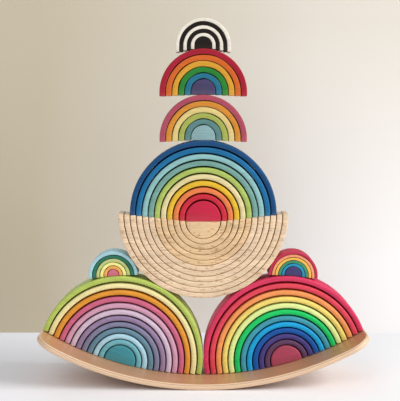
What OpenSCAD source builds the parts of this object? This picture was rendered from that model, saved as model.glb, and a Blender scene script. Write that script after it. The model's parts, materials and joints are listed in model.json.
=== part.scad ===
// Nine nesting wooden rainbows stacked on a curved rocker board.
// Millimetres. The front faces -Y, +Z is up, and the board's lowest line lies on z = 0.

/* [Rocker board] */
// Radius of the board's hollow upper face
board_r = 692; // [640:1:760]
// Thickness of the board
board_t = 14; // [10:0.5:20]
// Width of the board from front to back
board_depth = 220; // [180:1:300]
// Radius of the board's corners seen from above
board_corner = 45; // [20:1:60]
// Broken edge along the board's long sides
board_edge = 3.5; // [1:0.5:5]
// Board left beyond the outermost feet
board_end = 2; // [1:0.5:20]

/* [Large sets on the board] */
// Outer radius of the outermost arch, to which the step and the core are fitted
big_r = 186; // [170:1:200]
// Step from one arch to the next, before it is fitted
big_pitch = 13.7; // [12:0.1:14.5]
// Radius of the core, before it is fitted
big_core = 35.3; // [25:0.1:45]
// Gap between neighbouring arches at their legs
big_gap = 1.9; // [1:0.1:3]
// Gap between neighbouring crowns on a flat table
big_crown = 0.3; // [0.2:0.1:1]
// How far the outermost arch is cut off above its centre
big_cut = 12.5; // [2:0.5:20]
// Depth of the arches from front to back
big_depth = 70; // [50:1:100]
// Gap between the two large sets where they come closest
pair_gap = 1; // [0.5:0.5:8]

/* [Natural set, upside down] */
// Outer radius of the outermost arch, to which the step and the core are fitted
nat_r = 190; // [178:1:200]
// Step from one arch to the next, before it is fitted
nat_pitch = 13.8; // [12:0.1:14.5]
// Radius of the core, before it is fitted
nat_core = 38.2; // [28:0.1:48]
// Gap between neighbouring arches at their legs
nat_gap = 1.8; // [1:0.1:3]
// Depth of the arches from front to back
nat_depth = 70; // [50:1:100]

/* [Blue set on the natural set] */
// Gap between neighbouring arches at their legs
blue_gap = 1.9; // [1:0.1:3]
// Side play between a foot and the higher rim next to it
foot_gap = 0.6; // [0.3:0.1:2]
// Straight leg of the outermost arch
blue_leg = 2.5; // [0:0.5:8]
// Straight leg gained from each arch to the next one inside it
blue_step = 0.5; // [0:0.1:1]
// Depth of the arches from front to back
blue_depth = 70; // [50:1:100]

/* [Medium sets] */
// Outer radius of the outermost arch, to which the step and the core are fitted
med_r = 97; // [90:1:110]
// Step from one arch to the next, before it is fitted
med_pitch = 14; // [12:0.1:15]
// Radius of the core, before it is fitted
med_core = 27; // [20:0.5:34]
// Gap between neighbouring arches at their legs
med_gap = 1; // [0.5:0.1:3]
// Straight leg of the core
med_leg = 7.5; // [2:0.5:15]
// How much lower each arch's feet hang than the next one's inside it
med_drop = 0.7; // [0:0.1:2]
// Depth of the arches from front to back
med_depth = 60; // [40:1:80]

/* [Black and white set] */
// Outer radius of the outermost arch, to which the step and the core are fitted
mono_r = 61; // [55:0.5:70]
// Step from one arch to the next, before it is fitted
mono_pitch = 8.4; // [7:0.1:9]
// Radius of the core, before it is fitted
mono_core = 19; // [14:0.5:24]
// Gap between neighbouring arches at their legs
mono_gap = 0.5; // [0.4:0.1:2]
// Straight leg of the core
mono_leg = 7; // [2:0.5:12]
// How much lower each arch's feet hang than the next one's inside it
mono_drop = 1.5; // [0:0.1:2]
// Depth of the arches from front to back
mono_depth = 50; // [30:1:70]

/* [Small sets] */
// Outer radius of the outermost arch, to which the steps and the cores are fitted
small_r = 55.5; // [45:0.5:60]
// Step from one arch of the left set to the next, before it is fitted
small_left_pitch = 8.6; // [7:0.1:9]
// Radius of the left set's core, before it is fitted
small_left_core = 12.5; // [10:0.5:16]
// Step from one arch of the right set to the next, before it is fitted
small_right_pitch = 7.3; // [6:0.1:8]
// Radius of the right set's core, before it is fitted
small_right_core = 19; // [14:0.5:22]
// Gap between neighbouring arches at their legs
small_gap = 0.8; // [0.4:0.1:2]
// Straight leg of the core
small_leg = 3; // [1:0.5:6]
// How much lower each arch's feet hang than the next one's inside it
small_drop = 0.4; // [0:0.1:1]
// Depth of the arches from front to back
small_depth = 55; // [30:1:70]
// Gap between a small set and the natural set beside it
small_side = 1; // [0.5:0.1:5]

/* [Fits and finish] */
// Play left wherever one piece rests on another
seat = 0.25; // [0.2:0.05:0.3]
// Broken edge around the faces of the arches
arch_edge = 1.5; // [0.5:0.1:2]

/* [Hidden] */
$fn = 96;
// How far a board corner's arc runs past the sides that it joins
corner_ease = 1;
big_n = 12;
nat_n = 12;
blue_n = 10;
six = 6;
// Step of a set of n pieces that fills its outer radius r, with core and step in proportion
function fitted(r, core, pitch, n) = r * pitch / (core + (n - 1) * pitch);
big_step = fitted(big_r, big_core, big_pitch, big_n);
nat_step = fitted(nat_r, nat_core, nat_pitch, nat_n);
med_step = fitted(med_r, med_core, med_pitch, six);
mono_step = fitted(mono_r, mono_core, mono_pitch, six);
small_left_step = fitted(small_r, small_left_core, small_left_pitch, six);
small_right_step = fitted(small_r, small_right_core, small_right_pitch, six);
big_t = big_step - big_gap;
nat_t = nat_step - nat_gap;
blue_t = nat_step - blue_gap;

// Half width of an arch at its feet, where its centre lies e above them (below when negative)
function foot(ro, e) = e < 0 ? sqrt(ro * ro - e * e) : ro;

// How far a round top of radius r falls away at the distance x from its crown
function sag(r, x) = x < r ? r - sqrt(r * r - x * x) : r;

// Large sets: each arch's outer feet corners stand on the hollow board
function big_ro(i) = big_r - i * big_step;
function big_e(i) = i * max(0, big_gap - big_crown) - big_cut;
function big_feet(i) = sqrt(pow(board_r - seat, 2) - pow(foot(big_ro(i), big_e(i)), 2));
axis_z = board_r + board_t;
big_axis = big_feet(0) - big_e(0);
big_x = big_r + pair_gap / 2;
big_tilt = asin(big_x / big_axis);
big_z = axis_z - big_axis * cos(big_tilt);
board_half = big_tilt + asin(foot(big_r, big_e(0)) / (board_r - seat)) + board_end / board_r * 180 / PI;

// Natural set: the outermost arch lies between the two large sets, each other one in the last
nat_reach = big_r + nat_r + seat;
nat_z = big_z + sqrt(nat_reach * nat_reach - big_x * big_x);
function nat_ro(i) = nat_r - i * nat_step;
function nat_rim(i) = nat_z - i * (nat_gap - seat);

// Blue set: each arch stands on the upturned feet of a natural arch
blue_on = nat_n - blue_n;
function blue_ro(i) = nat_ro(i + blue_on - 1) - nat_t - foot_gap;
function blue_e(i) = blue_leg + i * blue_step;
function blue_feet(i) = nat_rim(i + blue_on) + seat;
blue_top = blue_feet(0) + blue_ro(0) + blue_e(0);

// Sets of six on a round top of radius on_r: the core stands, the others hang over one another
function six_core(r, step) = r - (six - 1) * step;
function six_crown(k, r, step, gap, leg) = six_core(r, step) + leg + k * (step - gap + seat);
function six_hang(k, r, step, gap, drop, on_r) =
    k == 0 ? 0 : max(0, min(k * drop, sag(on_r, six_core(r, step) + gap + (k - 1) * step) - seat));

pink_z = blue_top + seat;
med_top = six_crown(six - 1, med_r, med_step, med_gap, med_leg);
red_z = pink_z + med_top + seat;
mono_z = red_z + med_top + seat;

// Small sets: on the outermost large arches, close beside the natural set
function small_step(side) = side < 0 ? small_left_step : small_right_step;
small_up = big_r + seat + small_leg - (six - 1) * (small_gap - seat);
small_reach = nat_r + small_r + small_side;
small_turn = acos((small_up * small_up + nat_reach * nat_reach - small_reach * small_reach)
    / (2 * small_up * nat_reach)) - asin(big_x / nat_reach);

// Section of an arch's bar between the radii ri and ro, with broken edges
module bar(ri, ro, depth) {
    polygon([
        [ri + arch_edge, -depth / 2],
        [ro - arch_edge, -depth / 2],
        [ro, -depth / 2 + arch_edge],
        [ro, depth / 2 - arch_edge],
        [ro - arch_edge, depth / 2],
        [ri + arch_edge, depth / 2],
        [ri, depth / 2 - arch_edge],
        [ri, -depth / 2 + arch_edge]
    ]);
}

// Section of a core, half of it out to the radius ro
module half_core(ro, depth) {
    polygon([
        [0, -depth / 2],
        [ro - arch_edge, -depth / 2],
        [ro, -depth / 2 + arch_edge],
        [ro, depth / 2 - arch_edge],
        [ro - arch_edge, depth / 2],
        [0, depth / 2]
    ]);
}

// Section of a core, all of it
module full_core(ro, depth) {
    polygon([
        [-ro + arch_edge, -depth / 2],
        [ro - arch_edge, -depth / 2],
        [ro, -depth / 2 + arch_edge],
        [ro, depth / 2 - arch_edge],
        [ro - arch_edge, depth / 2],
        [-ro + arch_edge, depth / 2],
        [-ro, depth / 2 - arch_edge],
        [-ro, -depth / 2 + arch_edge]
    ]);
}

// Half ring turned upright, its centre e above the feet
module half_ring(e) {
    translate([0, 0, e])
        rotate([90, 0, 0])
            rotate_extrude(angle = 180)
                children();
}

// Space below the feet
module below(ro, e, depth) {
    translate([-ro - 1, -depth, e - 1])
        cube([2 * ro + 2, 2 * depth, 1 - e]);
}

// Arch with its feet on z = 0 and its centre e above them
module arch(ro, t, e, depth) {
    if (e > 0) {
        union() {
            half_ring(e)
                bar(ro - t, ro, depth);
            linear_extrude(e)
                bar(ro - t, ro, depth);
            linear_extrude(e)
                bar(-ro, t - ro, depth);
        }
    } else {
        difference() {
            half_ring(e)
                bar(ro - t, ro, depth);
            below(ro, e, depth);
        }
    }
}

// Solid core with its flat on z = 0 and its centre e above it
module core(ro, e, depth) {
    if (e > 0) {
        union() {
            half_ring(e)
                half_core(ro, depth);
            linear_extrude(e)
                full_core(ro, depth);
        }
    } else {
        difference() {
            half_ring(e)
                half_core(ro, depth);
            below(ro, e, depth);
        }
    }
}

// Piece i of a large set, stood on the board and turned about the board's axis
module big_piece(i, turn) {
    translate([0, 0, axis_z])
        rotate([0, turn, 0])
            translate([0, 0, -big_feet(i)])
                if (i == big_n - 1) {
                    core(big_ro(i), big_e(i), big_depth);
                } else {
                    arch(big_ro(i), big_t, big_e(i), big_depth);
                }
}

// Pieces first to last of the natural set, feet up
module nat_pieces(first, last) {
    for (i = [first:last]) {
        translate([0, 0, nat_rim(i)])
            rotate([0, 180, 0])
                if (i == nat_n - 1) {
                    core(nat_ro(i), 0, nat_depth);
                } else {
                    arch(nat_ro(i), nat_t, 0, nat_depth);
                }
    }
}

// Piece i of the blue set
module blue_piece(i) {
    translate([0, 0, blue_feet(i)])
        if (i == blue_n - 1) {
            core(blue_ro(i), blue_e(i), blue_depth);
        } else {
            arch(blue_ro(i), blue_t, blue_e(i), blue_depth);
        }
}

// Piece i of a set of six that stands with its core on z = 0, over a round top of radius on_r
module six_piece(i, r, step, gap, leg, drop, depth, on_r) {
    k = six - 1 - i;
    ro = r - i * step;
    hang = six_hang(k, r, step, gap, drop, on_r);
    e = six_crown(k, r, step, gap, leg) - ro + hang;
    translate([0, 0, -hang])
        if (k == 0) {
            core(ro, e, depth);
        } else {
            arch(ro, step - gap, e, depth);
        }
}

module pink_piece(i) {
    translate([0, 0, pink_z])
        six_piece(i, med_r, med_step, med_gap, med_leg, med_drop, med_depth, blue_ro(0));
}

module red_piece(i) {
    translate([0, 0, red_z])
        six_piece(i, med_r, med_step, med_gap, med_leg, med_drop, med_depth, med_r);
}

module mono_piece(i) {
    translate([0, 0, mono_z])
        six_piece(i, mono_r, mono_step, mono_gap, mono_leg, mono_drop, mono_depth, med_r);
}

// Piece i of a small set, on the left (side = -1) or the right (side = 1) large set
module small_piece(i, side) {
    translate([side * big_x, 0, big_z])
        rotate([0, side * small_turn, 0])
            translate([0, 0, big_r + seat])
                six_piece(i, small_r, small_step(side), small_gap, small_leg, small_drop, small_depth, big_r);
}

// Section of the board, from its hollow face out to its underside
module board_bar() {
    polygon([
        [board_r + board_edge, -board_depth / 2],
        [board_r + board_t - board_edge, -board_depth / 2],
        [board_r + board_t, -board_depth / 2 + board_edge],
        [board_r + board_t, board_depth / 2 - board_edge],
        [board_r + board_t - board_edge, board_depth / 2],
        [board_r + board_edge, board_depth / 2],
        [board_r, board_depth / 2 - board_edge],
        [board_r, -board_depth / 2 + board_edge]
    ]);
}

// What a board corner loses, with the corner itself on x = 0, y = 0
module corner_waste() {
    inset = board_corner - corner_ease;
    difference() {
        translate([-inset, -inset, -2 * board_t])
            cube([2 * board_corner, 2 * board_corner, 4 * board_t]);
        translate([-inset, -inset, -3 * board_t])
            cylinder(r = board_corner, h = 6 * board_t);
    }
}

module board() color("#c99a6e")
    translate([0, 0, axis_z])
        difference() {
            rotate([90, 0, 0])
                rotate([0, 0, 270 - board_half])
                    rotate_extrude(angle = 2 * board_half)
                        board_bar();
            for (x = [0, 1], y = [0, 1]) {
                mirror([x, 0, 0])
                    mirror([0, y, 0])
                        rotate([0, -board_half, 0])
                            translate([0, board_depth / 2, -board_r])
                                corner_waste();
            }
        }

module left_lime() color("#a9c152") big_piece(0, big_tilt);
module left_cream() color("#ecdfa4") big_piece(1, big_tilt);
module left_orange() color("#e9a03f") big_piece(2, big_tilt);
module left_rose() color("#c85f86") big_piece(3, big_tilt);
module left_pink() color("#d79bb8") big_piece(4, big_tilt);
module left_lavender() color("#d3b6d2") big_piece(5, big_tilt);
module left_mauve() color("#9a80a6") big_piece(6, big_tilt);
module left_slate() color("#7d84a2") big_piece(7, big_tilt);
module left_steel() color("#5d8499") big_piece(8, big_tilt);
module left_sky() color("#a3cfdd") big_piece(9, big_tilt);
module left_turquoise() color("#6fadb3") big_piece(10, big_tilt);
module left_teal() color("#3f8c8f") big_piece(11, big_tilt);

module right_magenta() color("#d9355f") big_piece(0, -big_tilt);
module right_red() color("#ef4b5c") big_piece(1, -big_tilt);
module right_orange() color("#fb9a5c") big_piece(2, -big_tilt);
module right_yellow() color("#fbd35d") big_piece(3, -big_tilt);
module right_lime() color("#dcec93") big_piece(4, -big_tilt);
module right_green() color("#25c264") big_piece(5, -big_tilt);
module right_teal() color("#4396ac") big_piece(6, -big_tilt);
module right_sky() color("#239fe0") big_piece(7, -big_tilt);
module right_navy() color("#1f53a8") big_piece(8, -big_tilt);
module right_purple() color("#563d82") big_piece(9, -big_tilt);
module right_plum() color("#7b3a5c") big_piece(10, -big_tilt);
module right_brick() color("#b1425a") big_piece(11, -big_tilt);

module natural_1_3() color("#e3c08f") nat_pieces(0, 2);
module natural_4_6() color("#e3c08f") nat_pieces(3, 5);
module natural_7_8() color("#e3c08f") nat_pieces(6, 7);
module natural_9_10() color("#e3c08f") nat_pieces(8, 9);
module natural_11_12() color("#e3c08f") nat_pieces(10, 11);

module blue_navy() color("#1f4f94") blue_piece(0);
module blue_royal() color("#2a72b4") blue_piece(1);
module blue_sky() color("#92c6d8") blue_piece(2);
module blue_sage() color("#7fa9a3") blue_piece(3);
module blue_lime() color("#b3ca5d") blue_piece(4);
module blue_cream() color("#efe6b0") blue_piece(5);
module blue_yellow() color("#f4c942") blue_piece(6);
module blue_orange() color("#f08a3c") blue_piece(7);
module blue_red() color("#d8323f") blue_piece(8);
module blue_cherry() color("#c92b4c") blue_piece(9);

module pink_rose() color("#d56c92") pink_piece(0);
module pink_orange() color("#f0954a") pink_piece(1);
module pink_cream() color("#efe4ae") pink_piece(2);
module pink_lime() color("#b4cd62") pink_piece(3);
module pink_teal() color("#3d88a0") pink_piece(4);
module pink_aqua() color("#a6d3d6") pink_piece(5);

module red_crimson() color("#c92b45") red_piece(0);
module red_orange() color("#ee8a45") red_piece(1);
module red_yellow() color("#f3c74e") red_piece(2);
module red_green() color("#3aa35f") red_piece(3);
module red_blue() color("#2f7fc0") red_piece(4);
module red_purple() color("#5a4287") red_piece(5);

module mono_white() color("#f0ece4") {
    mono_piece(0);
    mono_piece(2);
    mono_piece(4);
}
module mono_black() color("#2a2a2c") {
    mono_piece(1);
    mono_piece(3);
    mono_piece(5);
}

module small_left_outer() color("#7fb4c6") {
    small_piece(0, -1);
    small_piece(1, -1);
}
module small_left_middle() color("#cfdc85") {
    small_piece(2, -1);
    small_piece(3, -1);
}
module small_left_inner() color("#dd7d6b") {
    small_piece(4, -1);
    small_piece(5, -1);
}
module small_right_outer() color("#cf3f52") {
    small_piece(0, 1);
    small_piece(1, 1);
}
module small_right_middle() color("#a8bd4f") {
    small_piece(2, 1);
    small_piece(3, 1);
}
module small_right_inner() color("#4a5a9c") {
    small_piece(4, 1);
    small_piece(5, 1);
}

board();
left_lime();
left_cream();
left_orange();
left_rose();
left_pink();
left_lavender();
left_mauve();
left_slate();
left_steel();
left_sky();
left_turquoise();
left_teal();
right_magenta();
right_red();
right_orange();
right_yellow();
right_lime();
right_green();
right_teal();
right_sky();
right_navy();
right_purple();
right_plum();
right_brick();
natural_1_3();
natural_4_6();
natural_7_8();
natural_9_10();
natural_11_12();
blue_navy();
blue_royal();
blue_sky();
blue_sage();
blue_lime();
blue_cream();
blue_yellow();
blue_orange();
blue_red();
blue_cherry();
pink_rose();
pink_orange();
pink_cream();
pink_lime();
pink_teal();
pink_aqua();
red_crimson();
red_orange();
red_yellow();
red_green();
red_blue();
red_purple();
mono_white();
mono_black();
small_left_outer();
small_left_middle();
small_left_inner();
small_right_outer();
small_right_middle();
small_right_inner();
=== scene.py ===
"""Dress nine nested wooden rainbows on a rocker board and light them as in a plain studio."""

import json
import logging
import math
from dataclasses import dataclass
from enum import Enum
from typing import Iterator

import bpy
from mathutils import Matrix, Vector


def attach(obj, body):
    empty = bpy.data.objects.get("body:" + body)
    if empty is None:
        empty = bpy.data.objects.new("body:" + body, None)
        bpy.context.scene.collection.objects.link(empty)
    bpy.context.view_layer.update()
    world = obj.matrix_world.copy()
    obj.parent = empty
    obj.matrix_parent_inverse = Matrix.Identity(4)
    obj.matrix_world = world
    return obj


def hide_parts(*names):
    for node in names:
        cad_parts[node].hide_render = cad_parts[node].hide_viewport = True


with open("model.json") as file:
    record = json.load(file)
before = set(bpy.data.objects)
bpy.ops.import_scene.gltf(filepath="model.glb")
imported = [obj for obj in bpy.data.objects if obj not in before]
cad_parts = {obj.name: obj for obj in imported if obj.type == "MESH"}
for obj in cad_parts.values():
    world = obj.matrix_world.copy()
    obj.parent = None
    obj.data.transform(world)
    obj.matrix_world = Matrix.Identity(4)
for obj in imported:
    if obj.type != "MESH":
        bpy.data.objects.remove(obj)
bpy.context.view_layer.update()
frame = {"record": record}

LOG = logging.getLogger("rainbows")
MM = 0.001

Colour = tuple[float, float, float, float]
Spot = tuple[float, float, float]
Span = tuple[float, float]
Socket = bpy.types.NodeSocket
Inputs = dict[str | int, object]

# Marks on the points of an arch, from 0 to 1: how rubbed its edge is, and how much painted shade lies in the
# saw gap beside it.
RUB = "rub"
PAINTED_GAP_SHADE = "painted_gap_shade"
# How far the rubbing reaches from an edge, and how deep the painted shade reaches into a saw gap.
WEAR = 2.2 * MM
GAP_SHADE_DEPTH = 7.5 * MM

# Points up to this far apart are one, lie on the same plane, or are near the feet or the centre.
MERGED = 1e-6
ON_PLANE = 1e-5
NEAR = 1e-4

# Edges sharper than the first angle are rounded, and those up to the second are shaded smooth.
SHARP = math.radians(40)
SMOOTH = math.radians(35)


class Stain(Enum):
    """The water stains and bare woods of the arches, as they look in daylight."""

    MEADOW = "#b9cc62"
    CREAM = "#f6e8a9"
    APRICOT = "#e79c35"
    ROSE = "#d36989"
    BLUSH = "#d8a3bc"
    LILAC = "#d9c3d6"
    MAUVE = "#9a84a7"
    SLATE = "#8485a3"
    STEEL = "#698fa4"
    ICE = "#b4deef"
    LAGOON = "#75bbc7"
    PINE_TEAL = "#4496a3"
    MAGENTA = "#db3961"
    SCARLET = "#e4475a"
    MANGO = "#fa9e5c"
    SUN = "#fade75"
    CITRON = "#e7faa0"
    EMERALD = "#17ce69"
    HARBOUR = "#429fb2"
    AZURE = "#15a9e2"
    COBALT = "#1259ab"
    VIOLET = "#4c4186"
    PLUM = "#634265"
    BRICK = "#b54a63"
    NAVY = "#0e4979"
    OCEAN = "#126d9f"
    MIST = "#8ebebe"
    SAGE = "#77a59b"
    LEAF = "#aec463"
    VANILLA = "#e5d69f"
    GOLD = "#e6ba30"
    CORAL = "#e98049"
    POPPY = "#cf283c"
    CHERRY = "#c72143"
    PETAL = "#ac4b5d"
    TANGERINE = "#d58b2f"
    STRAW = "#e0c981"
    PEAR = "#a6b055"
    DUSK_TEAL = "#5b8684"
    FROST = "#8aadb0"
    CRIMSON = "#a5152e"
    PUMPKIN = "#d16421"
    HONEY = "#d79c2e"
    FERN = "#25812d"
    LAKE = "#1e6f8b"
    GRAPE = "#453e63"
    CHALK = "#e8e1d2"
    COAL = "#120702"
    GLACIER = "#aad7e1"
    SPRUCE = "#2c765d"
    LIME = "#c1cc81"
    BUTTER = "#faf296"
    PEACH = "#f3ac5a"
    CANDY = "#d37184"
    RUBY = "#c23251"
    SALMON = "#faa376"
    AMBER = "#f6c054"
    IVY = "#419670"
    POND = "#2495bd"
    AUBERGINE = "#433e6f"
    BEECH = "#f0d3b1"
    HEARTWOOD = "#eac79a"


def linear(code: str) -> Colour:
    """Turn a colour code into the linear values that shaders use, by the usual screen curve.

    Args:
        code: A colour as #rrggbb.

    Returns:
        Red, green, blue and alpha.
    """
    channels = [int(code[i:i + 2], 16) / 255 for i in (1, 3, 5)]
    return (*[c / 12.92 if c <= 0.04045 else ((c + 0.055) / 1.055) ** 2.4 for c in channels], 1.0)


def shade(colour: Colour, by: float) -> Colour:
    """Make a linear colour darker or lighter, with no channel over 1."""
    return (*[min(1.0, c * by) for c in colour[:3]], 1.0)


def deepen(colour: Colour, by: float) -> Colour:
    """Make a linear colour darker and richer: the colour of flecks, and of the painted shade inside a narrow
    saw gap.
    """
    return (*[by * c ** 2 for c in colour[:3]], 1.0)


def tint(colour: Colour, other: Colour, share: float) -> Colour:
    """Mix a share of another linear colour into a colour."""
    return (*[a + (b - a) * share for a, b in zip(colour[:3], other[:3])], 1.0)


@dataclass(frozen=True)
class Pattern:
    """A noise: its waves per metre along X, Y and Z, how many finer ones it has, and how strong those are."""

    waves: Spot
    detail: float
    rough: float


class Sheet:
    """The node sheet of one new material, with its shader."""

    def __init__(self, name: str) -> None:
        """Start a material.

        Args:
            name: The material's name.
        """
        self.material = bpy.data.materials.new(name)
        self.material.use_nodes = True
        self.tree = self.material.node_tree
        self.shader = self.tree.nodes["Principled BSDF"]

    def node(self, kind: str, inputs: Inputs | None = None, **settings: object) -> bpy.types.Node:
        """Add a node.

        Args:
            kind: The node's type.
            inputs: Values or sockets for its inputs, by name or number.
            **settings: The node's own properties.

        Returns:
            The new node.
        """
        made = self.tree.nodes.new(kind)
        for key, value in settings.items():
            setattr(made, key, value)
        for key, value in (inputs or {}).items():
            self.put(made.inputs[key], value)
        return made

    def put(self, socket: Socket, value: object) -> None:
        """Link a socket to an input, or set the input to a value.

        Args:
            socket: The input.
            value: An output socket, or a plain value.
        """
        if isinstance(value, Socket):
            self.tree.links.new(value, socket)
        else:
            socket.default_value = value

    def place(self, turn: float = 0.0) -> Socket:
        """Give the piece's own coordinates, in metres, turned back about Y.

        Args:
            turn: How far the piece is turned about Y, in radians.

        Returns:
            The vector socket.
        """
        own = self.node("ShaderNodeTexCoord").outputs["Object"]
        return self.node("ShaderNodeMapping", {"Vector": own, "Rotation": (0.0, -turn, 0.0)}).outputs[0]

    def noise(self, pattern: Pattern, turn: float = 0.0) -> Socket:
        """Add a noise that is stretched along the piece's grain.

        Args:
            pattern: The noise.
            turn: How far the piece is turned about Y, in radians.

        Returns:
            The noise's value.
        """
        stretch = {"Vector": self.place(turn), "Scale": pattern.waves}
        spread = self.node("ShaderNodeMapping", stretch).outputs[0]
        inputs = {"Vector": spread, "Scale": 1.0, "Detail": pattern.detail, "Roughness": pattern.rough}
        return self.node("ShaderNodeTexNoise", inputs).outputs["Fac"]

    def mark(self, name: str) -> Socket:
        """Give a mark that was left on the piece's points."""
        return self.node("ShaderNodeAttribute", attribute_name=name).outputs["Fac"]

    def ranged(self, value: Socket, span: Span, to: Span = (0.0, 1.0)) -> Socket:
        """Move a value from one range to another, held at both ends."""
        inputs = {"Value": value, "From Min": span[0], "From Max": span[1], "To Min": to[0], "To Max": to[1]}
        return self.node("ShaderNodeMapRange", inputs).outputs[0]

    def mixed(self, share: Socket, first: object, second: object) -> Socket:
        """Mix two colours by a share."""
        return self.node("ShaderNodeMix", {0: share, 6: first, 7: second}, data_type="RGBA").outputs[2]

    def math(self, operation: str, first: object, second: object = 0.0) -> Socket:
        """Work out one step on one or two values."""
        return self.node("ShaderNodeMath", {0: first, 1: second}, operation=operation).outputs[0]

    def summed(self, first: Socket, second: Socket, share: float) -> Socket:
        """Add a share of one value to the rest of another."""
        rest = self.math("MULTIPLY", second, 1.0 - share)
        return self.math("ADD", self.math("MULTIPLY", first, share), rest)

    def dress(self, colour: Socket, rough: Socket, height: Socket, bump: Span) -> bpy.types.Material:
        """Give the shader its colour, roughness and fine relief.

        Args:
            colour: The surface's colour.
            rough: The surface's roughness.
            height: The height of the relief.
            bump: How strong the relief is, and how deep, in metres.

        Returns:
            The finished material.
        """
        relief = self.node("ShaderNodeBump", {"Height": height, "Strength": bump[0], "Distance": bump[1]})
        self.put(self.shader.inputs["Base Color"], colour)
        self.put(self.shader.inputs["Roughness"], rough)
        self.put(self.shader.inputs["Normal"], relief.outputs[0])
        return self.material


def choose(tree: bpy.types.NodeTree, output: str, share: Socket, shaders: tuple[Socket, Socket]) -> None:
    """Show the first or the second of two shaders, by a share.

    Args:
        tree: The nodes of a material or world.
        output: The name of their output node.
        share: 0 where the first shader shows and 1 where the second does.
        shaders: Both shaders.
    """
    either = tree.nodes.new("ShaderNodeMixShader")
    for socket, source in zip(either.inputs, (share, *shaders)):
        tree.links.new(source, socket)
    tree.links.new(either.outputs[0], tree.nodes[output].inputs["Surface"])


@dataclass(frozen=True)
class WoodFinish:
    """Stained or bare wood: straight grain, cloudy stain, short flecks, rubbed edges, and painted shade in
    the deep saw gaps between arches.
    """

    stain: Stain
    turn: float
    tone: float = 1.0
    fibre: Pattern = Pattern((22.0, 190.0, 420.0), 5.0, 0.62)
    bands: Pattern = Pattern((5.0, 26.0, 74.0), 3.0, 0.5)
    fibre_share: float = 0.6
    streak_at: Span = (0.36, 0.66)
    grain: float = 0.16
    pale_grain: float = 0.6
    patches: Pattern = Pattern((17.0, 17.0, 17.0), 3.0, 0.55)
    patch_at: Span = (0.32, 0.68)
    patch_tone: float = 0.74
    cloud: float = 0.20
    flecks: Pattern = Pattern((150.0, 900.0, 1100.0), 2.0, 0.5)
    fleck_at: Span = (0.57, 0.68)
    fleck_tone: float = 0.58
    fleck_depth: float = 1.2
    pores: float = 0.22
    worn_at: Span = (0.30, 0.62)
    worn_to: Span = (0.35, 1.0)
    worn_tone: float = 1.25
    worn_wood: float = 0.35
    rubbed: float = 0.26
    # The strength and the colour of the painted shade in the saw gaps.
    sawn: float = 0.55
    gap_shade_tone: float = 0.24
    rough_at: Span = (0.34, 0.68)
    rough: Span = (0.62, 0.46)
    bump: Span = (0.22, 0.5 * MM)
    specular: float = 0.22

    def material(self) -> bpy.types.Material:
        """Make the finish.

        Returns:
            The new material.
        """
        sheet = Sheet(f"wood_{self.stain.name.lower()}")
        base = shade(linear(self.stain.value), self.tone)
        fibre = sheet.noise(self.fibre, self.turn)
        lines = sheet.summed(fibre, sheet.noise(self.bands, self.turn), self.fibre_share)
        dark = shade(base, 1.0 - self.grain)
        pale = shade(base, 1.0 + self.pale_grain * self.grain)
        colour = sheet.mixed(sheet.ranged(lines, self.streak_at), dark, pale)
        patch = sheet.ranged(sheet.noise(self.patches, self.turn), self.patch_at, (0.0, self.cloud))
        colour = sheet.mixed(patch, colour, shade(base, self.patch_tone))
        fleck = sheet.ranged(sheet.noise(self.flecks, self.turn), self.fleck_at, (0.0, self.pores))
        colour = sheet.mixed(fleck, colour, deepen(base, self.fleck_tone))
        worn = sheet.math("MULTIPLY", sheet.mark(RUB), sheet.ranged(fibre, self.worn_at, self.worn_to))
        bare = tint(shade(base, self.worn_tone), linear(Stain.BEECH.value), self.worn_wood)
        colour = sheet.mixed(sheet.math("MULTIPLY", worn, self.rubbed), colour, bare)
        # Painted shade: the sides in a saw gap are darkened towards a deeper, richer colour, near the front
        # and the back.
        inside = sheet.math("MULTIPLY", sheet.mark(PAINTED_GAP_SHADE), self.sawn)
        colour = sheet.mixed(inside, colour, deepen(base, self.gap_shade_tone))
        height = sheet.math("SUBTRACT", lines, sheet.math("MULTIPLY", fleck, self.fleck_depth))
        sheet.shader.inputs["Specular IOR Level"].default_value = self.specular
        return sheet.dress(colour, sheet.ranged(lines, self.rough_at, self.rough), height, self.bump)


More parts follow.
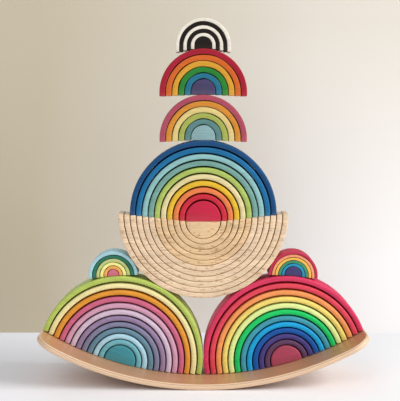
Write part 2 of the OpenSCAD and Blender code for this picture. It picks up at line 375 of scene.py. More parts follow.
@dataclass(frozen=True)
class BoardFinish:
    """Lacquered bent board: a warm, glossy face veneer, and pale layers along its sawn edge."""

    axis: float
    face_radius: float
    face: str = "#bf916c"
    fibre: Pattern = Pattern((9.0, 240.0, 30.0), 5.0, 0.6)
    bands: Pattern = Pattern((2.2, 22.0, 8.0), 3.0, 0.5)
    fibre_share: float = 0.5
    streak_at: Span = (0.36, 0.66)
    streak_tones: Span = (0.88, 1.08)
    flecks: Pattern = Pattern((95.0, 900.0, 260.0), 2.0, 0.5)
    fleck_at: Span = (0.60, 0.70)
    fleck_share: float = 0.20
    fleck_tone: float = 0.55
    rough_at: Span = (0.34, 0.68)
    rough: Span = (0.36, 0.26)
    bump: Span = (0.06, 0.4 * MM)
    edge: str = "#e8c6a4"
    edge_fibre: Pattern = Pattern((40.0, 200.0, 320.0), 4.0, 0.6)
    edge_at: Span = (0.36, 0.70)
    edge_share: float = 0.35
    edge_tones: Span = (1.03, 0.72)
    glue_lines: tuple[Span, ...] = ((3.4 * MM, 0.75), (9.0 * MM, 0.25))
    glue_width: Span = (0.3 * MM, 0.9 * MM)
    glue_tone: float = 0.38
    edge_rough_at: Span = (0.3, 0.7)
    edge_rough: Span = (0.58, 0.44)
    edge_bump: Span = (0.12, 0.4 * MM)

    def veneer(self) -> bpy.types.Material:
        """Make the finish of the board's upper face and underside.

        Returns:
            The new material.
        """
        sheet = Sheet("board_veneer")
        base = linear(self.face)
        lines = sheet.summed(sheet.noise(self.fibre), sheet.noise(self.bands), self.fibre_share)
        dark, pale = (shade(base, tone) for tone in self.streak_tones)
        colour = sheet.mixed(sheet.ranged(lines, self.streak_at), dark, pale)
        fleck = sheet.ranged(sheet.noise(self.flecks), self.fleck_at, (0.0, self.fleck_share))
        colour = sheet.mixed(fleck, colour, shade(base, self.fleck_tone))
        return sheet.dress(colour, sheet.ranged(lines, self.rough_at, self.rough), lines, self.bump)

    def layers(self) -> bpy.types.Material:
        """Make the finish of the sawn edge, with its layers around the board's axis.

        Returns:
            The new material.
        """
        sheet = Sheet("board_layers")
        base = linear(self.edge)
        parts = sheet.node("ShaderNodeSeparateXYZ", {0: sheet.place()}).outputs
        across = parts["X"]
        rise = sheet.math("SUBTRACT", parts["Z"], self.axis)
        squares = [sheet.math("MULTIPLY", side, side) for side in (across, rise)]
        radius = sheet.math("SQRT", sheet.math("ADD", *squares))
        depth = sheet.math("SUBTRACT", radius, self.face_radius)
        fibre = sheet.noise(self.edge_fibre)
        pale, dark = (shade(base, tone) for tone in self.edge_tones)
        colour = sheet.mixed(sheet.ranged(fibre, self.edge_at, (0.0, self.edge_share)), pale, dark)
        for at, share in self.glue_lines:
            away = sheet.math("ABSOLUTE", sheet.math("SUBTRACT", depth, at))
            glue = sheet.ranged(away, self.glue_width, (share, 0.0))
            colour = sheet.mixed(glue, colour, shade(base, self.glue_tone))
        rough = sheet.ranged(fibre, self.edge_rough_at, self.edge_rough)
        return sheet.dress(colour, rough, fibre, self.edge_bump)


def deselect() -> None:
    """Leave nothing selected."""
    bpy.ops.object.select_all(action="DESELECT")


def take(piece: bpy.types.Object) -> None:
    """Select one piece alone and make it active.

    Args:
        piece: The piece.
    """
    deselect()
    piece.select_set(True)
    bpy.context.view_layer.objects.active = piece


def settle(piece: bpy.types.Object) -> None:
    """Move a piece's place into its mesh."""
    take(piece)
    bpy.ops.object.transform_apply(location=True, rotation=True, scale=True)


def close_up() -> None:
    """Merge the doubled points of the mesh in edit mode, point its faces outwards and leave edit mode."""
    bpy.ops.mesh.select_all(action="SELECT")
    bpy.ops.mesh.remove_doubles(threshold=MERGED)
    bpy.ops.mesh.normals_make_consistent(inside=False)
    bpy.ops.object.mode_set(mode="OBJECT")


def round_edges(piece: bpy.types.Object, width: float, segments: int) -> None:
    """Round a piece's sharp edges and shade it smooth.

    Args:
        piece: The piece.
        width: Width of the rounding.
        segments: How many faces go round it.
    """
    take(piece)
    bpy.ops.object.modifier_add(type="BEVEL")
    bevel = piece.modifiers[-1]
    bevel.width = width
    bevel.segments = segments
    bevel.limit_method = "ANGLE"
    bevel.angle_limit = SHARP
    bevel.use_clamp_overlap = False
    bpy.ops.object.modifier_apply(modifier=bevel.name)
    bpy.ops.object.shade_smooth_by_angle(angle=SMOOTH)


def nodes_of(label: str) -> list[str]:
    """Names of a set's nodes, the outermost first, as the record lists them."""
    return [part["node"] for part in frame["record"]["subparts"] if part["node"].startswith(f"{label}_")]


@dataclass
class Arch:
    """One bent bar, or the solid core of a set when its bar is 0.

    It is modelled on its feet at z = 0. The centre of its circle lies leg above them, or below if leg is
    negative. Then it is turned about Y and its feet are put at x and z.
    """

    name: str
    body: str
    finish: WoodFinish
    outer: float
    bar: float
    leg: float
    depth: float
    edge: float
    x: float
    z: float
    turn: float
    # Share of the edge rounding that is left free of painted shade before the saw gap.
    gap_shade_from: float = 0.5
    saw: float = 0.03
    saw_waves: tuple[tuple[float, int, float], ...] = ((0.3, 3, 1.0), (0.2, 7, 1.7))
    saw_middle: float = 0.5
    saw_start: float = 3.0
    swelling: float = 0.96
    back_from: float = 0.995
    least_steps: int = 28
    steps_per_mm: float = 0.4
    core_steps: int = 96
    rim_steps: int = 4
    foot_edge: float = 0.9 * MM
    foot_steps: int = 2

    def build(self, around: "Arch | None") -> bpy.types.Object:
        """Model the piece on its feet, round its edges and put it in its place.

        Args:
            around: The next arch outside this one, if there is one.

        Returns:
            The finished piece.
        """
        piece = self.core() if self.bar == 0 else self.bent_bar()
        piece.name = self.name
        self.ring()
        self.wander(piece, around)
        if around:
            self.swell(piece, around)
        self.round_rims(piece)
        round_edges(piece, self.foot_edge, self.foot_steps)
        self.mark_wear_and_gap_shade(piece, around)
        piece.rotation_euler = (0.0, self.turn, 0.0)
        piece.location = (self.x, 0.0, self.z)
        settle(piece)
        piece.data.materials.append(self.finish.material())
        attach(piece, self.body)
        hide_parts(self.body)
        return piece

    @property
    def rise(self) -> float:
        """Height of the circle's centre along the piece's own upright."""
        return self.x * math.sin(self.turn) + self.z * math.cos(self.turn) + self.leg

    def foot(self, radius: float) -> float:
        """Half width at the feet of a circle whose centre lies leg above them."""
        return math.sqrt(radius ** 2 - self.leg ** 2) if self.leg < 0 else radius

    def bent_bar(self) -> bpy.types.Object:
        """Spin the bar's section from one foot to the other and plant both feet.

        Returns:
            The piece, standing on z = 0.
        """
        inner = self.outer - self.bar
        middle = self.outer - self.bar / 2
        start = math.asin(max(0.0, -self.leg) / middle)
        deselect()
        bpy.ops.mesh.primitive_plane_add(size=1.0)
        piece = bpy.context.object
        piece.scale = (self.bar, self.depth, 1.0)
        piece.location = (middle, 0.0, 0.0)
        settle(piece)
        piece.rotation_euler = (0.0, -start, 0.0)
        settle(piece)
        steps = max(self.least_steps, round(self.outer / MM * self.steps_per_mm))
        sweep = math.pi - 2 * start
        bpy.ops.object.mode_set(mode="EDIT")
        bpy.ops.mesh.select_all(action="SELECT")
        bpy.ops.mesh.spin(steps=steps, angle=sweep, center=(0.0, 0.0, 0.0), axis=(0.0, 1.0, 0.0))
        close_up()
        for vertex in piece.data.vertices:
            spot = vertex.co
            radius = math.hypot(spot.x, spot.z)
            at_foot = abs(math.atan2(spot.z, abs(spot.x)) - start) < NEAR
            spot.z += self.leg
            if at_foot:
                spot.x = math.copysign(self.foot(self.outer if radius > middle else inner), spot.x)
                spot.z = 0.0
        return piece

    def core(self) -> bpy.types.Object:
        """Cut a round bar in half and lower its flat to the feet.

        Returns:
            The piece, standing on z = 0.
        """
        deselect()
        bpy.ops.mesh.primitive_cylinder_add(vertices=self.core_steps, radius=self.outer, depth=self.depth)
        piece = bpy.context.object
        piece.rotation_euler = (math.pi / 2, 0.0, 0.0)
        settle(piece)
        bpy.ops.object.mode_set(mode="EDIT")
        bpy.ops.mesh.select_all(action="SELECT")
        flat = {"plane_co": (0.0, 0.0, 0.0), "plane_no": (0.0, 0.0, 1.0)}
        bpy.ops.mesh.bisect(**flat, use_fill=True, clear_inner=True)
        close_up()
        for vertex in piece.data.vertices:
            vertex.co.z = vertex.co.z + self.leg if vertex.co.z > ON_PLANE else 0.0
        return piece

    def ring(self) -> None:
        """Cut lines of points round the active piece: half way through its depth, and near each face, where
        the painted shade in the saw gaps ends.
        """
        bpy.ops.object.mode_set(mode="EDIT")
        for y in (GAP_SHADE_DEPTH - self.depth / 2, 0.0, self.depth / 2 - GAP_SHADE_DEPTH):
            bpy.ops.mesh.select_all(action="SELECT")
            bpy.ops.mesh.bisect(plane_co=(0.0, y, 0.0), plane_no=(0.0, 1.0, 0.0))
        bpy.ops.object.mode_set(mode="OBJECT")

    def wander(self, piece: bpy.types.Object, around: "Arch | None") -> None:
        """Let the saw wander a little into the sides that it cut, so that the gaps are not all alike.

        Args:
            piece: The piece, standing on z = 0.
            around: The next arch outside this one, if there is one.
        """
        reach = self.saw * (self.bar or around.bar)
        middle = self.outer - self.bar / 2 if self.bar else 0.0
        for vertex in piece.data.vertices:
            spot = vertex.co
            up = spot.z - self.leg
            radius = math.hypot(spot.x, up)
            outside = radius > middle
            if abs(spot.y) < ON_PLANE or up < NEAR or radius < NEAR or (outside and not around):
                continue
            angle = math.atan2(up, spot.x)
            phase = (self.outer if outside else self.outer - self.bar) / MM
            wave = self.saw_middle
            for share, count, shift in self.saw_waves:
                wave += share * math.sin(count * angle + shift * phase)
            cut = reach * wave * min(1.0, self.saw_start * math.sin(angle)) * (-1.0 if outside else 1.0)
            spot.x *= 1.0 + cut / radius
            spot.z = self.leg + up * (1.0 + cut / radius)

    def swell(self, piece: bpy.types.Object, around: "Arch") -> None:
        """Swell the back a little half way through its depth, so that no daylight shows through the saw gap.

        Args:
            piece: The piece, standing on z = 0.
            around: The next arch outside this one.
        """
        wide = around.outer - around.bar - self.outer
        lift = self.rise - around.rise
        for vertex in piece.data.vertices:
            spot = vertex.co
            up = spot.z - self.leg
            radius = math.hypot(spot.x, up) if up > 0 or self.leg < 0 else abs(spot.x)
            if abs(spot.y) > ON_PLANE or radius < self.outer * self.back_from:
                continue
            sine = max(0.0, up / radius)
            grown = 1.0 + self.swelling * (wide - lift * sine) / radius
            spot.x *= grown
            spot.z = self.leg + up * grown if spot.z > ON_PLANE and up > 0 else spot.z

    def round_rims(self, piece: bpy.types.Object) -> None:
        """Round the curved rims of the front and the back, from foot to foot.

        Args:
            piece: The piece, standing on z = 0.
        """
        take(piece)
        bpy.ops.object.mode_set(mode="EDIT")
        bpy.ops.mesh.select_mode(type="EDGE")
        bpy.ops.mesh.select_all(action="DESELECT")
        bpy.ops.object.mode_set(mode="OBJECT")
        spots = [vertex.co for vertex in piece.data.vertices]
        middle = self.outer - self.bar / 2
        for line in piece.data.edges:
            one, two = (spots[i] for i in line.vertices)
            outside = [math.hypot(spot.x, spot.z - self.leg) > middle for spot in (one, two)]
            faced = one.y * two.y > 0 and min(abs(one.y), abs(two.y)) > self.depth / 2 - ON_PLANE
            along = not self.bar or outside[0] == outside[1]
            line.select = faced and along and max(one.z, two.z) > ON_PLANE
        bpy.ops.object.mode_set(mode="EDIT")
        bpy.ops.mesh.bevel(offset=self.edge, segments=self.rim_steps, affect="EDGES", clamp_overlap=False)
        bpy.ops.object.mode_set(mode="OBJECT")

    def mark_wear_and_gap_shade(self, piece: bpy.types.Object, around: "Arch | None") -> None:
        """Mark how near each point lies to an edge that hands rub, and how much painted shade it gets in a
        saw gap.

        Args:
            piece: The piece, still standing on z = 0.
            around: The next arch outside this one, if there is one.
        """
        rub = piece.data.attributes.new(RUB, "FLOAT", "POINT")
        painted_gap_shade = piece.data.attributes.new(PAINTED_GAP_SHADE, "FLOAT", "POINT")
        for vertex in piece.data.vertices:
            x, y, z = vertex.co
            up = z - self.leg
            radius = math.hypot(x, max(0.0, up) if self.leg > 0 else up)
            outwards = abs(self.outer - radius)
            inwards = abs(radius - self.outer + self.bar) if self.bar else math.inf
            deep = self.depth / 2 - abs(y)
            second = sorted((outwards, inwards, deep, z))[1]
            rub.data[vertex.index].value = max(0.0, 1.0 - second / min(self.edge, WEAR))
            # Painted shade on the sides within a saw gap: none at the front of the edge rounding, full deeper
            # in, and fading out again a few millimetres into the gap.
            cut = inwards < outwards or around is not None
            dark = (deep / self.edge - self.gap_shade_from) / (1.0 - self.gap_shade_from)
            fade = (GAP_SHADE_DEPTH - deep) / (GAP_SHADE_DEPTH - self.edge)
            painted_gap_shade.data[vertex.index].value = max(0.0, min(1.0, dark, fade)) if cut else 0.0


@dataclass
class Layout:
    """The sizes that the sets share and where each set stands, in metres."""

    seat: float = 0.25 * MM
    board_r: float = 692 * MM
    board_t: float = 14 * MM
    board_depth: float = 220 * MM
    board_corner: float = 45 * MM
    board_end: float = 2 * MM
    big_r: float = 186 * MM
    big_pitch: float = 13.7 * MM
    big_gap: float = 1.9 * MM
    big_crown: float = 0.3 * MM
    big_cut: float = 12.5 * MM
    pair_gap: float = 1 * MM
    nat_r: float = 190 * MM
    nat_pitch: float = 13.8 * MM
    nat_gap: float = 1.8 * MM
    foot_gap: float = 0.6 * MM
    blue_leg: float = 2.5 * MM
    blue_step: float = 0.5 * MM
    small_side: float = 1 * MM

    def big_outer(self, i: int) -> float:
        """Outer radius of a large set's piece i."""
        return self.big_r - i * self.big_pitch

    def big_leg(self, i: int) -> float:
        """How far the centre of a large set's piece i lies above its feet."""
        return i * (self.big_gap - self.big_crown) - self.big_cut

    def big_feet(self, i: int) -> float:
        """Work out how far a large set's feet are from the board's axis.

        Args:
            i: The piece, counted from the outermost.

        Returns:
            The distance, with the feet on the board's face.
        """
        leg = self.big_leg(i)
        half = math.sqrt(self.big_outer(i) ** 2 - leg ** 2) if leg < 0 else self.big_outer(i)
        return math.sqrt((self.board_r - self.seat) ** 2 - half ** 2)

    @property
    def axis_z(self) -> float:
        """Height of the board's axis."""
        return self.board_r + self.board_t

    @property
    def big_x(self) -> float:
        """Distance of a large set's outermost centre from the middle."""
        return self.big_r + self.pair_gap / 2

    @property
    def big_tilt(self) -> float:
        """How far the large sets lean towards each other."""
        return math.asin(self.big_x / (self.big_feet(0) - self.big_leg(0)))

    @property
    def big_z(self) -> float:
        """Height of a large set's outermost centre."""
        return self.axis_z - (self.big_feet(0) - self.big_leg(0)) * math.cos(self.big_tilt)

    @property
    def nat_reach(self) -> float:
        """Distance from a large set's centre to the natural set's."""
        return self.big_r + self.nat_r + self.seat

    def rim(self, i: int) -> float:
        """Height of the upturned feet of the natural set's piece i."""
        top = self.big_z + math.sqrt(self.nat_reach ** 2 - self.big_x ** 2)
        return top - i * (self.nat_gap - self.seat)

    def nat_outer(self, i: int) -> float:
        """Outer radius of the natural set's piece i."""
        return self.nat_r - i * self.nat_pitch

    def blue_outer(self, i: int) -> float:
        """Outer radius of the blue set's piece i, which stands inside the next higher rim."""
        return self.nat_outer(i + 1) - (self.nat_pitch - self.nat_gap) - self.foot_gap

    @property
    def blue_top(self) -> float:
        """Height of the blue set's crown."""
        return self.rim(2) + self.seat + self.blue_outer(0) + self.blue_leg

    @property
    def board_half(self) -> float:
        """Half of the angle that the board spans."""
        half = math.sqrt(self.big_r ** 2 - self.big_cut ** 2)
        return self.big_tilt + math.asin(half / (self.board_r - self.seat)) + self.board_end / self.board_r


@dataclass
class BoardSet:
    """A large set of twelve that stands on the rocker board."""

    label: str
    side: int
    stains: tuple[Stain, ...]
    layout: Layout
    depth: float = 70 * MM
    edge: float = 4.0 * MM

    def arches(self) -> Iterator[Arch]:
        """Lay out the set on the board's face.

        Yields:
            Its pieces, the outermost first.
        """
        place = self.layout
        turn = -self.side * place.big_tilt
        last = len(self.stains) - 1
        for i, (stain, node) in enumerate(zip(self.stains, nodes_of(self.label))):
            feet = place.big_feet(i)
            yield Arch(
                f"{node}_wood", node, WoodFinish(stain, turn), outer=place.big_outer(i),
                bar=0 if i == last else place.big_pitch - place.big_gap, leg=place.big_leg(i),
                depth=self.depth, edge=self.edge,
                x=-feet * math.sin(turn), z=place.axis_z - feet * math.cos(turn), turn=turn)


@dataclass
class UpturnedSet:
    """The bare wood set of twelve that lies upside down between the large sets."""

    label: str
    layout: Layout
    shared: tuple[int, ...] = (3, 3, 2, 2, 2)
    pale: int = 6
    tones: Span = (0.97, 0.06)
    spread: float = 2.4
    flecks: Pattern = Pattern((95.0, 300.0, 330.0), 2.0, 0.5)
    depth: float = 70 * MM
    edge: float = 2.0 * MM
    # Share of the edge rounding left free of painted shade in the saw gaps.
    gap_shade_from: float = 0.25

    def finish(self, i: int) -> WoodFinish:
        """Choose the bare wood of one piece, each a little lighter or darker than the next.

        Args:
            i: The piece, counted from the outermost.

        Returns:
            Its finish.
        """
        stain = Stain.BEECH if i < self.pale else Stain.HEARTWOOD
        tone = self.tones[0] + self.tones[1] * math.sin(self.spread * i) ** 2
        # Its last two settings give the painted shade in the saw gaps.
        return WoodFinish(stain, math.pi, tone, grain=0.27, cloud=0.28, flecks=self.flecks, pores=0.7,
                          rubbed=0.2, sawn=0.85, gap_shade_tone=0.8)

    def arches(self) -> Iterator[Arch]:
        """Lay out the set, upside down, with two or three pieces on each body.

        Yields:
            Its pieces, the outermost first.
        """
        place = self.layout
        bodies = [node for node, count in zip(nodes_of(self.label), self.shared) for _ in range(count)]
        for i, body in enumerate(bodies):
            yield Arch(
                f"natural_{i + 1}_wood", body, self.finish(i), outer=place.nat_outer(i),
                bar=0 if i == len(bodies) - 1 else place.nat_pitch - place.nat_gap, leg=0.0,
                depth=self.depth, edge=self.edge, x=0.0, z=place.rim(i), turn=math.pi, gap_shade_from=self.gap_shade_from)


@dataclass
class RimSet:
    """The blue set of ten that stands on the upturned feet."""

    label: str
    stains: tuple[Stain, ...]
    layout: Layout
    first_rim: int = 2
    gap: float = 1.9 * MM
    depth: float = 70 * MM
    edge: float = 3.4 * MM

    def arches(self) -> Iterator[Arch]:
        """Lay out the set, each piece on its own rim.

        Yields:
            Its pieces, the outermost first.
        """
        place = self.layout
        last = len(self.stains) - 1
        for i, (stain, node) in enumerate(zip(self.stains, nodes_of(self.label))):
            yield Arch(
                f"{node}_wood", node, WoodFinish(stain, 0.0), outer=place.blue_outer(i),
                bar=0 if i == last else place.nat_pitch - self.gap,
                leg=place.blue_leg + i * place.blue_step, depth=self.depth, edge=self.edge,
                x=0.0, z=place.rim(i + self.first_rim) + place.seat, turn=0.0)


@dataclass
class CrownSet:
    """A set of six on a round top: its core stands and the others hang over one another."""

    label: str
    stains: tuple[Stain, ...]
    bodies: tuple[str, ...]
    seat: float
    outer: float
    pitch: float
    gap: float
    leg: float
    drop: float
    depth: float
    edge: float
    on_radius: float
    x: float = 0.0
    z: float = 0.0
    turn: float = 0.0
    # Strength of the painted shade in the saw gaps, and the share of the edge rounding left free of it.
    sawn: float = 1.0
    gap_shade_from: float = 0.1
    saw: float = 0.07

    @property
    def core(self) -> float:
        """Radius of the core."""
        return self.outer - (len(self.stains) - 1) * self.pitch

    def crown(self, k: int) -> float:
        """Height of the crown of the k-th piece from the core."""
        return self.core + self.leg + k * (self.pitch - self.gap + self.seat)

    @property
    def top(self) -> float:
        """Height of the whole set."""
        return self.crown(len(self.stains) - 1)

    def hang(self, k: int) -> float:
        """Work out how far a piece's feet hang below the core's flat.

        Args:
            k: The piece, counted from the core.

        Returns:
            The distance, which leaves the feet clear of the round top below.
        """
        if k == 0:
            return 0.0
        reach = self.core + self.gap + (k - 1) * self.pitch
        fall = self.on_radius - math.sqrt(max(0.0, self.on_radius ** 2 - reach ** 2))
        return max(0.0, min(k * self.drop, fall - self.seat))

    def arches(self) -> Iterator[Arch]:
        """Lay out the set from its crown inwards.

        Yields:
            Its pieces, the outermost first.
        """
        last = len(self.stains) - 1
        for i, (stain, body) in enumerate(zip(self.stains, self.bodies)):
            k = last - i
            outer = self.outer - i * self.pitch
            hang = self.hang(k)
            yield Arch(
                f"{self.label}_{i + 1}_wood", body, WoodFinish(stain, self.turn, sawn=self.sawn), outer=outer,
                bar=0 if k == 0 else self.pitch - self.gap, leg=self.crown(k) - outer + hang,
                depth=self.depth, edge=self.edge, x=self.x - hang * math.sin(self.turn),
                z=self.z - hang * math.cos(self.turn), turn=self.turn, gap_shade_from=self.gap_shade_from, saw=self.saw)


@dataclass
class RockerBoard:
    """The bent board that everything stands on."""

    layout: Layout
    node: str = "board"
    cuts: int = 96
    corner_steps: int = 14
    rounding: float = 4.5 * MM
    rounding_steps: int = 5
    face_from: float = 0.86

    def build(self) -> bpy.types.Object:
        """Model the board flat, bend it, give it its thickness and round its edges.

        Returns:
            The finished board.
        """
        place = self.layout
        half_length = place.board_half * place.board_r
        deselect()
        bpy.ops.mesh.primitive_plane_add(size=1.0)
        board = bpy.context.object
        board.name = "rocker_board"
        board.scale = (2 * half_length, place.board_depth, 1.0)
        settle(board)
        bpy.ops.object.mode_set(mode="EDIT")
        bpy.ops.mesh.select_all(action="SELECT")
        bpy.ops.mesh.bevel(offset=place.board_corner, segments=self.corner_steps, affect="VERTICES")
        for i in range(1, self.cuts):
            bpy.ops.mesh.select_all(action="SELECT")
            at = half_length * (2 * i / self.cuts - 1)
            bpy.ops.mesh.bisect(plane_co=(at, 0.0, 0.0), plane_no=(1.0, 0.0, 0.0))
        bpy.ops.object.mode_set(mode="OBJECT")
        for vertex in board.data.vertices:
            angle = vertex.co.x / place.board_r
            vertex.co.x = place.board_r * math.sin(angle)
            vertex.co.z = place.axis_z - place.board_r * math.cos(angle)
        bpy.ops.object.modifier_add(type="SOLIDIFY")
        board.modifiers[-1].thickness = place.board_t
        board.modifiers[-1].offset = -1.0
        bpy.ops.object.modifier_apply(modifier=board.modifiers[-1].name)
        round_edges(board, self.rounding, self.rounding_steps)
        self.dress(board)
        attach(board, self.node)
        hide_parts(self.node)
        return board

    def dress(self, board: bpy.types.Object) -> None:
        """Give the faces their veneer and the sawn edge its layers.

        Args:
            board: The board.
        """
        place = self.layout
        finish = BoardFinish(place.axis_z, place.board_r)
        board.data.materials.append(finish.veneer())
        board.data.materials.append(finish.layers())
        for face in board.data.polygons:
            out = face.center.copy()
            out.y = 0.0
            out.z -= place.axis_z
            face.material_index = int(abs(face.normal.dot(out.normalized())) < self.face_from)


@dataclass(frozen=True)
class Lamp:
    """One soft white square lamp: where it hangs and points, its side in metres and its power in watts."""

    name: str
    spot: Spot
    aim: Spot
    side: float
    power: float

    def hang(self) -> None:
        """Add the lamp and turn it to where it points."""
        deselect()
        bpy.ops.object.light_add(type="AREA", location=self.spot)
        lamp = bpy.context.object
        lamp.name = self.name
        lamp.data.size = self.side
        lamp.data.energy = self.power
        away = lamp.location - Vector(self.aim)
        lamp.rotation_euler = away.to_track_quat("Z", "Y").to_euler()


@dataclass
class Studio:
    """Camera, soft light, floor and wall."""

    eye: Spot = (-0.0072, -2.135, 0.6088)
    look_down: float = math.radians(5.4)
    frame_px: int = 400
    focal_px: float = 949.0
    sensor_mm: float = 36.0
    room_side: float = 8.0
    wall_y: float = 0.435
    # Painted light: floor and wall are painted darker on the left and paler on the right, and the wall less
    # so high up, for the window's light from the right.
    floor_shade_to_light: tuple[str, str] = ("#f6f6f9", "#fafafc")
    wall_shade_to_light: tuple[str, str] = ("#c7bca4", "#f6f4f3")
    across: Span = (-0.45, 0.30)
    height: Span = (0.2, 0.85)
    high_light_share: float = 0.42
    uneven: Pattern = Pattern((3.0, 3.0, 3.0), 2.0, 0.5)
    uneven_at: Span = (0.3, 0.7)
    uneven_by: Span = (-0.03, 0.03)
    matt: float = 0.85
    sky: float = 0.36
    sky_seen: float = 0.92
    lamps: tuple[Lamp, ...] = (
        Lamp("window", (4.0, -1.45, 2.7), (0.0, 0.0, 0.35), 2.8, 218.0),
        Lamp("fill", (-1.0, -2.3, 1.9), (0.0, 0.0, 0.4), 1.8, 24.0),
        Lamp("back_fill", (-1.2, 2.8, 1.7), (0.0, 0.0, 0.4), 2.4, 18.0),
    )

    def camera(self) -> None:
        """Set up a camera with the photograph's view, a little above the object's middle and looking down."""
        deselect()
        bpy.ops.object.camera_add(location=self.eye, rotation=(math.pi / 2 - self.look_down, 0.0, 0.0))
        camera = bpy.context.object
        camera.data.sensor_fit = "HORIZONTAL"
        camera.data.sensor_width = self.sensor_mm
        camera.data.lens = self.focal_px / self.frame_px * self.sensor_mm
        bpy.context.scene.camera = camera

    def paint(self, name: str, tones: tuple[str, str]) -> bpy.types.Material:
        """Make a plain matt paint, a little uneven, with painted light: it pales from left to right, and less
        so high up, as the window lights it.

        Args:
            name: The material's name.
            tones: Its colours on the left, in painted shade, and on the right, in painted light, as #rrggbb.

        Returns:
            The new material.
        """
        sheet = Sheet(name)
        parts = sheet.node("ShaderNodeSeparateXYZ", {0: sheet.place()}).outputs
        uneven = sheet.ranged(sheet.noise(self.uneven), self.uneven_at, self.uneven_by)
        across = sheet.ranged(sheet.math("ADD", parts["X"], uneven), self.across)
        # Painted light: the share of the paler right colour grows to the right and shrinks high up.
        share = sheet.math("MULTIPLY", across, sheet.ranged(parts["Z"], self.height, (1.0, self.high_light_share)))
        left, right = (linear(tone) for tone in tones)
        sheet.put(sheet.shader.inputs["Base Color"], sheet.mixed(share, left, right))
        sheet.shader.inputs["Roughness"].default_value = self.matt
        return sheet.material

    def plane(self, name: str, spot: Spot, turn: float, tones: tuple[str, str]) -> bpy.types.Object:
        """Add a painted plane that is not part of the object.

        Args:
            name: Its name.
            spot: Its middle.
            turn: How far it is turned up about X, in radians.
            tones: The colours of its paint, in painted shade on the left and painted light on the right.

        Returns:
            The plane.
        """
        deselect()
        bpy.ops.mesh.primitive_plane_add(size=self.room_side, location=spot, rotation=(turn, 0.0, 0.0))
        plane = bpy.context.object
        plane.name = name
        settle(plane)
        plane.data.materials.append(self.paint(f"{name}_paint", tones))
        return plane

    def room(self) -> None:
        """Put down a pale floor and stand a pale wall behind the object, both with painted light that pales
        to the right.
        """
        self.plane("floor", (0.0, 0.0, 0.0), 0.0, self.floor_shade_to_light)
        self.open_back(self.plane("wall", (0.0, self.wall_y, 0.0), math.pi / 2, self.wall_shade_to_light))

    def open_back(self, wall: bpy.types.Object) -> None:
        """Let light through the wall and make its back clear, so that the object shows from behind.

        Args:
            wall: The wall, with its paint.
        """
        tree = wall.data.materials[0].node_tree
        behind = tree.nodes.new("ShaderNodeNewGeometry").outputs["Backfacing"]
        clear = tree.nodes.new("ShaderNodeBsdfTransparent")
        painted = tree.nodes["Principled BSDF"]
        choose(tree, "Material Output", behind, (painted.outputs[0], clear.outputs[0]))
        wall.visible_diffuse = False
        wall.visible_glossy = False
        wall.visible_shadow = False

    def light(self) -> None:
        """Light the object from a wide window on the right, with a soft fill all round."""
        for lamp in self.lamps:
            lamp.hang()
        world = bpy.data.worlds.new("studio")
        bpy.context.scene.world = world
        world.use_nodes = True
        tree = world.node_tree
        soft = tree.nodes["Background"]
        soft.inputs["Color"].default_value = (1.0, 1.0, 1.0, 1.0)
        soft.inputs["Strength"].default_value = self.sky
        pale = tree.nodes.new("ShaderNodeBackground")
        pale.inputs["Color"].default_value = (self.sky_seen, self.sky_seen, self.sky_seen, 1.0)
        seen = tree.nodes.new("ShaderNodeLightPath").outputs["Is Camera Ray"]
        choose(tree, "World Output", seen, (soft.outputs[0], pale.outputs[0]))
        bpy.context.scene.view_settings.view_transform = "Standard"


def small_set(place: Layout, side: int, label: str, pitch: float, stains: tuple[Stain, ...]) -> CrownSet:
    """Give a small set of six that stands on a large set and beside the natural one.

    Args:
        place: The shared layout.
        side: -1 for the left, 1 for the right.
        label: The set's name.
        pitch: How much smaller each piece's radius is than the next one's.
        stains: Its stains, the outermost first.

    Returns:
        The set, in its place.
    """
    bodies = tuple(node for node in nodes_of(label) for _ in range(2))
    small = CrownSet(label, stains, bodies, seat=place.seat, outer=55.5 * MM, pitch=pitch, gap=0.8 * MM,
                     leg=3 * MM, drop=0.4 * MM, depth=55 * MM, edge=1.4 * MM, on_radius=place.big_r)
    up = place.big_r + place.seat
    centre = up + small.top - small.outer
    reach = place.nat_r + small.outer + place.small_side
    lean = math.acos((centre ** 2 + place.nat_reach ** 2 - reach ** 2) / (2 * centre * place.nat_reach))
    small.turn = side * (lean - math.asin(place.big_x / place.nat_reach))
    small.x = side * place.big_x + up * math.sin(small.turn)
    small.z = place.big_z + up * math.cos(small.turn)
    return small


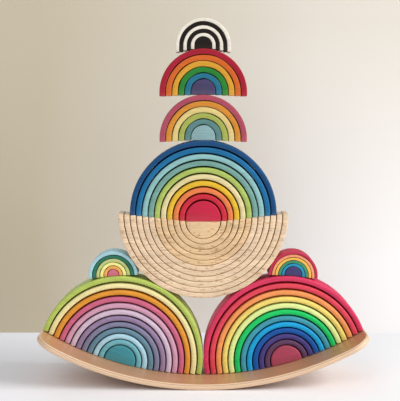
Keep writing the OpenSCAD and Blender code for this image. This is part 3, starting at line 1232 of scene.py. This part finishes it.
def crown_sets(place: Layout) -> list[CrownSet]:
    """Give the sets of six: two medium ones, the black and white one, and two small ones.

    Args:
        place: The shared layout.

    Returns:
        The sets, in the order in which they are built.
    """
    medium = {"seat": place.seat, "outer": 97 * MM, "pitch": 14 * MM, "gap": 1 * MM, "leg": 7.5 * MM,
              "drop": 0.7 * MM, "depth": 60 * MM, "edge": 1.9 * MM}
    muted = (Stain.PETAL, Stain.TANGERINE, Stain.STRAW, Stain.PEAR, Stain.DUSK_TEAL, Stain.FROST)
    pink = CrownSet("pink", muted, tuple(nodes_of("pink")), on_radius=place.blue_outer(0),
                    z=place.blue_top + place.seat, **medium)
    full = (Stain.CRIMSON, Stain.PUMPKIN, Stain.HONEY, Stain.FERN, Stain.LAKE, Stain.GRAPE)
    red = CrownSet("red", full, tuple(nodes_of("red")), on_radius=pink.outer,
                   z=pink.z + pink.top + place.seat, **medium)
    mono = CrownSet("mono", (Stain.CHALK, Stain.COAL) * 3, tuple(nodes_of("mono")) * 3, seat=place.seat,
                    outer=61 * MM, pitch=8.4 * MM, gap=0.5 * MM, leg=7 * MM, drop=1.5 * MM, depth=50 * MM,
                    edge=1.3 * MM, on_radius=red.outer, z=red.z + red.top + place.seat)
    cool = (Stain.GLACIER, Stain.SPRUCE, Stain.LIME, Stain.BUTTER, Stain.PEACH, Stain.CANDY)
    warm = (Stain.RUBY, Stain.SALMON, Stain.AMBER, Stain.IVY, Stain.POND, Stain.AUBERGINE)
    return [pink, red, mono, small_set(place, -1, "small_left", 8.6 * MM, cool),
            small_set(place, 1, "small_right", 7.3 * MM, warm)]


def main() -> None:
    """Build the studio, the board and every set, in order."""
    logging.basicConfig(level=logging.INFO, format="%(name)s: %(message)s")
    studio = Studio()
    studio.camera()
    studio.room()
    studio.light()
    place = Layout()
    LOG.info("made %s", RockerBoard(place).build().name)
    left = (Stain.MEADOW, Stain.CREAM, Stain.APRICOT, Stain.ROSE, Stain.BLUSH, Stain.LILAC,
            Stain.MAUVE, Stain.SLATE, Stain.STEEL, Stain.ICE, Stain.LAGOON, Stain.PINE_TEAL)
    right = (Stain.MAGENTA, Stain.SCARLET, Stain.MANGO, Stain.SUN, Stain.CITRON, Stain.EMERALD,
             Stain.HARBOUR, Stain.AZURE, Stain.COBALT, Stain.VIOLET, Stain.PLUM, Stain.BRICK)
    blue = (Stain.NAVY, Stain.OCEAN, Stain.MIST, Stain.SAGE, Stain.LEAF,
            Stain.VANILLA, Stain.GOLD, Stain.CORAL, Stain.POPPY, Stain.CHERRY)
    sets = [BoardSet("left", -1, left, place), BoardSet("right", 1, right, place),
            UpturnedSet("natural", place), RimSet("blue", blue, place), *crown_sets(place)]
    for rainbow in sets:
        around = None
        for arch in rainbow.arches():
            LOG.info("made %s", arch.build(around).name)
            around = arch


if __name__ == "__main__":
    main()
